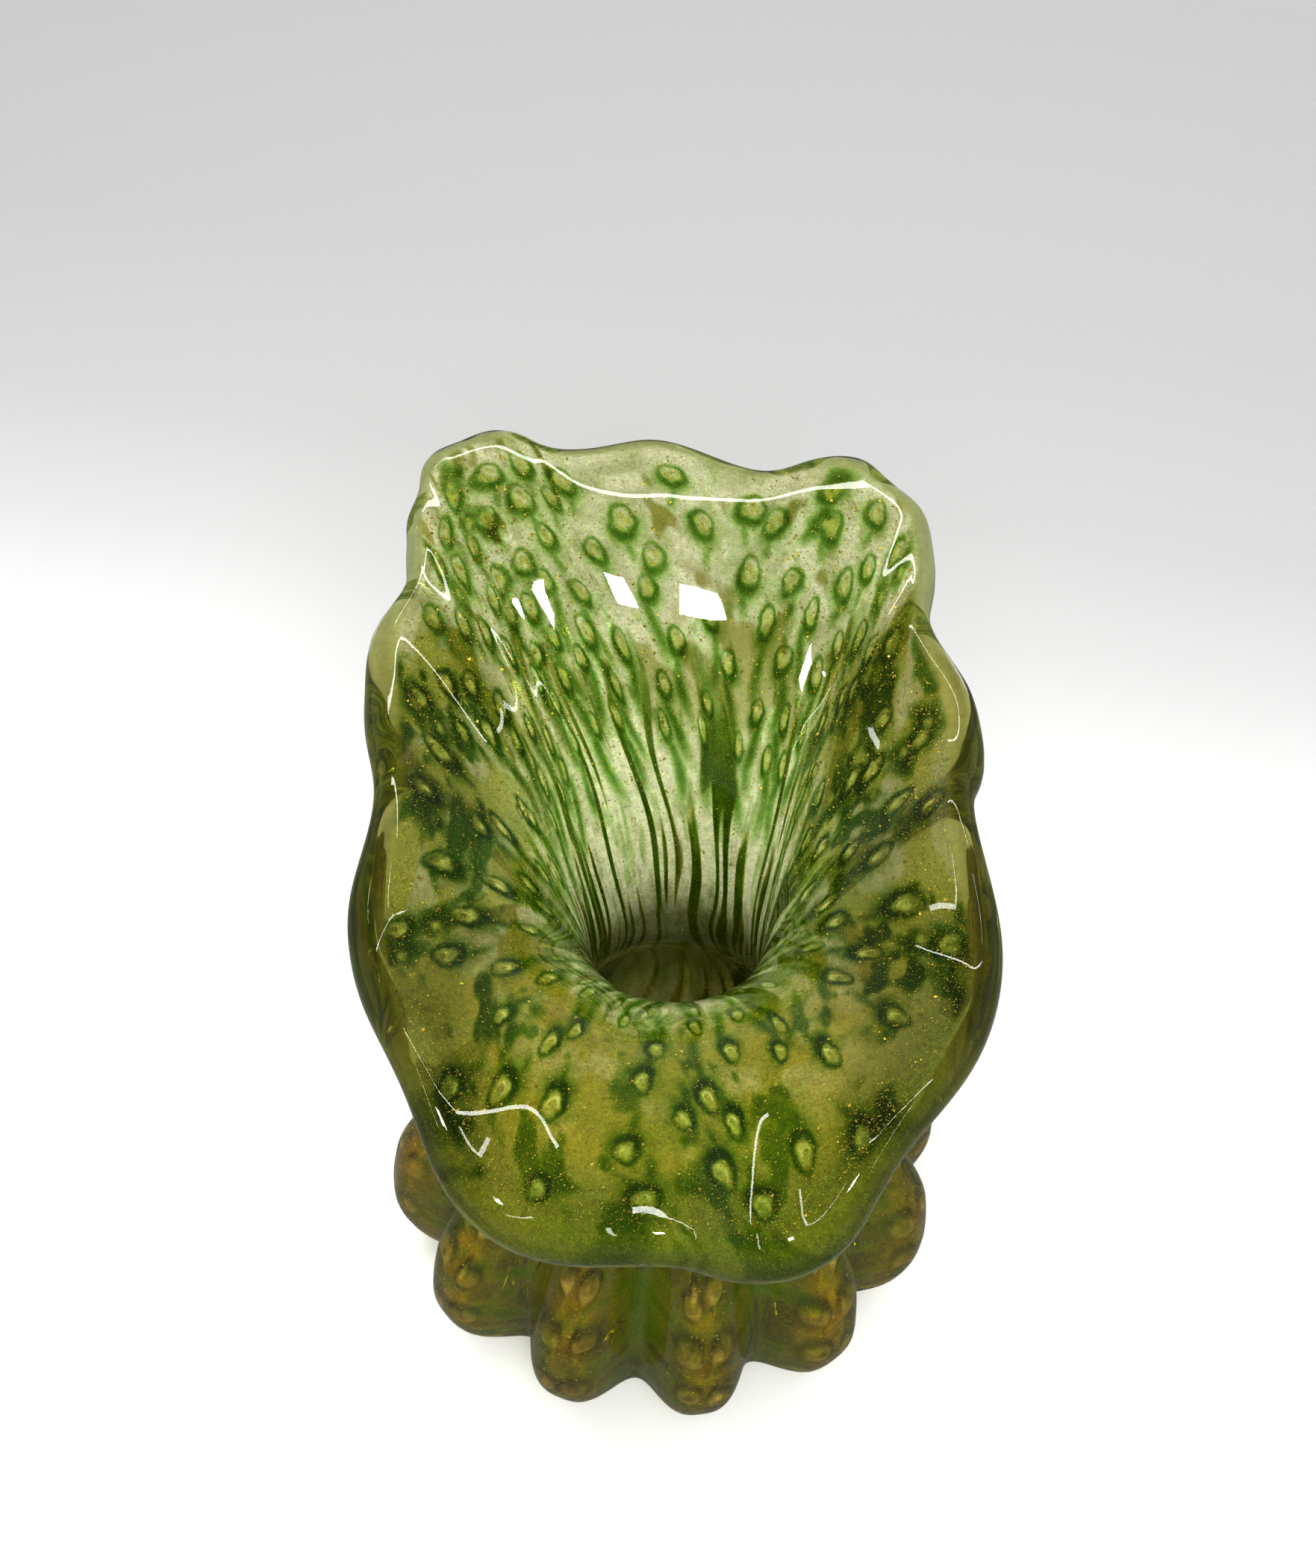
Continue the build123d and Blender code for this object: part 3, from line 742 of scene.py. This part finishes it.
def clear_material():
    m, nt, out = fresh("olive_clear_glass")
    L = nt.links.new
    tc = node(nt, "ShaderNodeTexCoord")
    n1 = node(nt, "ShaderNodeTexNoise", Scale=55.0, Detail=2.0)
    n2 = node(nt, "ShaderNodeTexNoise", Scale=420.0, Detail=3.0)
    L(tc.outputs["Object"], n1.inputs["Vector"])
    L(tc.outputs["Object"], n2.inputs["Vector"])
    bump = node(nt, "ShaderNodeBump", Strength=0.10, Distance=0.0006)
    L(n1.outputs["Fac"], bump.inputs["Height"])
    rough = node(nt, "ShaderNodeMapRange")
    rough.inputs["From Min"].default_value = 0.45
    rough.inputs["From Max"].default_value = 0.8
    rough.inputs["To Min"].default_value = 0.0
    rough.inputs["To Max"].default_value = 0.05
    L(n2.outputs["Fac"], rough.inputs["Value"])
    p = node(nt, "ShaderNodeBsdfPrincipled", IOR=1.5)
    p.inputs["Transmission Weight"].default_value = 1.0
    p.inputs["Base Color"].default_value = (0.985, 0.99, 0.95, 1)
    L(rough.outputs[0], p.inputs["Roughness"])
    L(bump.outputs[0], p.inputs["Normal"])
    tr = node(nt, "ShaderNodeBsdfTransparent", Color=(0.91, 0.91, 0.85, 1))
    lp = node(nt, "ShaderNodeLightPath")
    mx = node(nt, "ShaderNodeMixShader")
    L(lp.outputs["Is Shadow Ray"], mx.inputs[0])
    L(p.outputs[0], mx.inputs[1])
    L(tr.outputs[0], mx.inputs[2])
    L(mx.outputs[0], out.inputs["Surface"])
    va = node(nt, "ShaderNodeVolumeAbsorption", Color=(0.62, 0.64, 0.24, 1), Density=46.0)
    L(va.outputs[0], out.inputs["Volume"])
    return m


def layer_material(name, grain, white, glit, sheen):
    m, nt, out = fresh(name)
    L = nt.links.new
    col = node(nt, "ShaderNodeAttribute", attribute_name="col")
    opq = node(nt, "ShaderNodeAttribute", attribute_name="opq")
    tc = node(nt, "ShaderNodeTexCoord")
    nz = node(nt, "ShaderNodeTexNoise", Scale=900.0, Detail=4.0, Roughness=0.65)
    nz2 = node(nt, "ShaderNodeTexNoise", Scale=2600.0, Detail=2.0)
    L(tc.outputs["Object"], nz.inputs["Vector"])
    L(tc.outputs["Object"], nz2.inputs["Vector"])
    hsv = node(nt, "ShaderNodeHueSaturation", Saturation=1.05)
    v = maths(nt, "MULTIPLY_ADD", nz.outputs["Fac"], 1.1)
    v.node.inputs[2].default_value = 0.45
    L(v, hsv.inputs["Value"])
    L(col.outputs["Color"], hsv.inputs["Color"])
    o = maths(nt, "MULTIPLY_ADD", nz2.outputs["Fac"], grain)
    o.node.inputs[2].default_value = 1 - grain * 0.5
    o = maths(nt, "MULTIPLY", opq.outputs["Fac"], o, clamp=True)
    pas = node(nt, "ShaderNodeAttribute", attribute_name="pass_tint")
    tint = node(nt, "ShaderNodeHueSaturation", Saturation=1.0)
    v2 = maths(nt, "MULTIPLY_ADD", nz.outputs["Fac"], white)
    v2.node.inputs[2].default_value = 1 - white * 0.5
    L(v2, tint.inputs["Value"])
    L(pas.outputs["Color"], tint.inputs["Color"])
    tr = node(nt, "ShaderNodeBsdfTransparent")
    L(tint.outputs["Color"], tr.inputs["Color"])
    df = node(nt, "ShaderNodeBsdfDiffuse")
    tl = node(nt, "ShaderNodeBsdfTranslucent")
    vor = node(nt, "ShaderNodeTexVoronoi", Scale=2100.0)
    L(tc.outputs["Object"], vor.inputs["Vector"])
    spark = node(nt, "ShaderNodeMapRange")
    spark.inputs["From Min"].default_value = 0.22
    spark.inputs["From Max"].default_value = 0.12
    L(vor.outputs["Distance"], spark.inputs["Value"])
    sp2 = maths(nt, "MULTIPLY", spark.outputs[0], glit, clamp=True)
    gm = node(nt, "ShaderNodeMix", data_type="RGBA")
    gm.inputs["B"].default_value = (*lin(226, 200, 84), 1)
    L(sp2, gm.inputs["Factor"])
    L(hsv.outputs["Color"], gm.inputs["A"])
    L(gm.outputs["Result"], df.inputs["Color"])
    L(gm.outputs["Result"], tl.inputs["Color"])
    body = node(nt, "ShaderNodeMixShader", Fac=0.5)
    L(df.outputs[0], body.inputs[1])
    L(tl.outputs[0], body.inputs[2])
    nb = node(nt, "ShaderNodeBump", Strength=0.9, Distance=0.0004)
    L(nz.outputs["Fac"], nb.inputs["Height"])
    gold = node(nt, "ShaderNodeBsdfGlossy", Roughness=0.34)
    L(nb.outputs[0], gold.inputs["Normal"])
    warm = node(nt, "ShaderNodeMix", data_type="RGBA")
    warm.inputs["Factor"].default_value = 0.55
    warm.inputs["B"].default_value = (*lin(244, 206, 104), 1)
    L(hsv.outputs["Color"], warm.inputs["A"])
    L(warm.outputs["Result"], gold.inputs["Color"])
    leafy = node(nt, "ShaderNodeMixShader", Fac=sheen)
    L(body.outputs[0], leafy.inputs[1])
    L(gold.outputs[0], leafy.inputs[2])
    mx = node(nt, "ShaderNodeMixShader")
    L(o, mx.inputs[0])
    L(tr.outputs[0], mx.inputs[1])
    L(leafy.outputs[0], mx.inputs[2])
    L(mx.outputs[0], out.inputs["Surface"])
    return m


def bubble_material():
    m, nt, out = fresh("trapped_air")
    L = nt.links.new
    tc = node(nt, "ShaderNodeTexCoord")
    nz = node(nt, "ShaderNodeTexNoise", Scale=700.0, Detail=2.0)
    L(tc.outputs["Object"], nz.inputs["Vector"])
    ramp = node(nt, "ShaderNodeValToRGB")
    ramp.color_ramp.elements[0].color = (0.93, 0.92, 0.72, 1)
    ramp.color_ramp.elements[1].color = (1, 1, 0.96, 1)
    L(nz.outputs["Fac"], ramp.inputs["Fac"])
    p = node(nt, "ShaderNodeBsdfPrincipled", IOR=0.667, Roughness=0.02)
    p.inputs["Transmission Weight"].default_value = 1.0
    L(ramp.outputs["Color"], p.inputs["Base Color"])
    tr = node(nt, "ShaderNodeBsdfTransparent", Color=(0.95, 0.95, 0.9, 1))
    lp = node(nt, "ShaderNodeLightPath")
    mx = node(nt, "ShaderNodeMixShader")
    L(lp.outputs["Is Shadow Ray"], mx.inputs[0])
    L(p.outputs[0], mx.inputs[1])
    L(tr.outputs[0], mx.inputs[2])
    L(mx.outputs[0], out.inputs["Surface"])
    return m


def leaf_material():
    m, nt, out = fresh("torn_leaf")
    L = nt.links.new
    tc = node(nt, "ShaderNodeTexCoord")
    nz = node(nt, "ShaderNodeTexNoise", Scale=1500.0, Detail=1.0)
    L(tc.outputs["Object"], nz.inputs["Vector"])
    ramp = node(nt, "ShaderNodeValToRGB")
    ramp.color_ramp.elements[0].color = (*lin(196, 160, 40), 1)
    ramp.color_ramp.elements[1].color = (*lin(255, 236, 120), 1)
    L(nz.outputs["Fac"], ramp.inputs["Fac"])
    p = node(nt, "ShaderNodeBsdfPrincipled", Metallic=1.0, Roughness=0.38)
    L(ramp.outputs["Color"], p.inputs["Base Color"])
    L(p.outputs[0], out.inputs["Surface"])
    return m


glass.data.materials.append(clear_material())
layer.data.materials.append(layer_material("green_cased_glass", 1.5, 0.35, 0.65, 0.03))
lobes.data.materials.append(layer_material("amber_cased_glass", 1.4, 0.35, 0.8, 0.14))
bubbles.data.materials.append(bubble_material())
leaf.data.materials.append(leaf_material())

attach(glass, "root")
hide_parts("clear_casing")
for ob in (layer, lobes):
    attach(ob, "root")
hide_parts("inner_gather")
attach(bubbles, "root")
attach(leaf, "root")
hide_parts("gold_leaf")

# ===================================================================== floor, light, camera
floor = add_mesh("floor_sheet", np.array([(-1500, -900, 0), (1500, -900, 0), (1500, 1600, 0), (-1500, 1600, 0)]) - np.array([0, 0, 0.05]), [[0, 1, 2, 3]])
m, nt, out = fresh("pale_paper")
tc = node(nt, "ShaderNodeTexCoord")
sep = node(nt, "ShaderNodeSeparateXYZ")
nt.links.new(tc.outputs["Object"], sep.inputs[0])
# painted shade: the floor's colour greys in a broad band behind the vase, standing in for light falling off, and
# pales again further back
back = maths(nt, "MULTIPLY_ADD", sep.outputs["X"], 0.22)
nt.links.new(sep.outputs["Y"], back.node.inputs[2])
ramp = node(nt, "ShaderNodeValToRGB")
nt.links.new(maths(nt, "DIVIDE", back, 1.50, clamp=True), ramp.inputs["Fac"])
cr = ramp.color_ramp
cr.elements[0].color = (0.84, 0.84, 0.84, 1)
cr.elements[1].color = (0.95, 0.95, 0.95, 1)
for place, g in ((0.06, 0.69), (0.092, 0.575), (0.116, 0.49), (0.146, 0.43), (0.20, 0.412), (0.32, 0.425), (0.62, 0.85)):
    cr.elements.new(place).color = (g, g, g, 1)
# painted shade in reflections: glossy rays see the floor much darker, and transmission rays a little less dark
lp = node(nt, "ShaderNodeLightPath")
reflection_shade = node(nt, "ShaderNodeMix", data_type="RGBA")
reflection_shade.inputs["B"].default_value = (0.13, 0.125, 0.11, 1)
through = maths(nt, "MULTIPLY_ADD", lp.outputs["Is Transmission Ray"], -0.50)
through.node.inputs[2].default_value = 0.9
nt.links.new(maths(nt, "MULTIPLY", lp.outputs["Is Glossy Ray"], through), reflection_shade.inputs["Factor"])
nt.links.new(ramp.outputs["Color"], reflection_shade.inputs["A"])
p = node(nt, "ShaderNodeBsdfPrincipled", Roughness=0.9)
p.inputs["Specular IOR Level"].default_value = 0.1
nt.links.new(reflection_shade.outputs["Result"], p.inputs["Base Color"])
nt.links.new(p.outputs[0], out.inputs["Surface"])
floor.data.materials.append(m)

world = bpy.data.worlds.new("soft_room")
world.use_nodes = True
wn = world.node_tree
bg = wn.nodes["Background"]
wtc = wn.nodes.new("ShaderNodeTexCoord")
wsep = wn.nodes.new("ShaderNodeSeparateXYZ")
wn.links.new(wtc.outputs["Generated"], wsep.inputs[0])
wmr = wn.nodes.new("ShaderNodeMapRange")
wmr.interpolation_type = "SMOOTHSTEP"
wmr.inputs["From Min"].default_value = 0.05
wmr.inputs["From Max"].default_value = 0.75
wmr.inputs["To Min"].default_value = 0.95
wmr.inputs["To Max"].default_value = 0.24
wn.links.new(wsep.outputs["Z"], wmr.inputs["Value"])
wlp = wn.nodes.new("ShaderNodeLightPath")
dim = wn.nodes.new("ShaderNodeMath")
dim.operation = "MULTIPLY_ADD"
dim.inputs[1].default_value = -0.62
dim.inputs[2].default_value = 1.0
wn.links.new(wlp.outputs["Is Glossy Ray"], dim.inputs[0])
mul = wn.nodes.new("ShaderNodeMath")
mul.operation = "MULTIPLY"
wn.links.new(wmr.outputs[0], mul.inputs[0])
wn.links.new(dim.outputs[0], mul.inputs[1])
wn.links.new(mul.outputs[0], bg.inputs["Strength"])
bg.inputs["Color"].default_value = (1.0, 1.0, 0.985, 1)
bpy.context.scene.world = world


def panel(name, place, target, size, radiance, size_y=None):
    li = bpy.data.lights.new(name, "AREA")
    li.shape = "RECTANGLE"
    li.size = size
    li.size_y = size_y or size
    li.energy = radiance * math.pi * li.size * li.size_y
    ob = bpy.data.objects.new(name, li)
    bpy.context.scene.collection.objects.link(ob)
    ob.location = place
    d = Vector(target) - Vector(place)
    ob.rotation_euler = d.to_track_quat("-Z", "Y").to_euler()
    return ob


panel("key_panel", (-0.135, 0.005, 1.02), (0, 0.02, 0.1), 0.15, 36.0)
soft = panel("soft_panel", (0.15, 0.25, 1.5), (0, 0, 0.05), 1.9, 0.86)
soft.visible_glossy = False
soft.visible_transmission = False
fill = panel("front_panel", (0.05, -0.62, 0.95), (0, 0.04, 0.10), 0.55, 9.5)
fill.visible_glossy = False
fill.visible_transmission = False
panel("strip_panel", (0.10, 0.44, 0.75), (0, -0.077, 0.13), 0.80, 11.0, 0.016)
panel("left_strip", (-0.34, 0.02, 0.62), (0, 0, 0.12), 0.34, 9.0, 0.018)
panel("right_strip", (0.34, 0.02, 0.62), (0, 0, 0.12), 0.34, 9.0, 0.018)

cam = bpy.data.cameras.new("view")
cam.sensor_width = 36.0
cam.sensor_fit = "AUTO"
cam.lens = 3200.0 / 2100.0 * 36.0
cam.clip_start = 0.01
cam.clip_end = 20.0
co = bpy.data.objects.new("view", cam)
bpy.context.scene.collection.objects.link(co)
co.location = (-0.00088, -0.24780, 0.44721)
co.rotation_euler = (math.radians(90.0 - 51.05), 0, 0)
bpy.context.scene.camera = co
bpy.context.scene.view_settings.view_transform = "Standard"
bpy.context.scene.view_settings.look = "Medium High Contrast"
bpy.context.scene.view_settings.exposure = 0.12
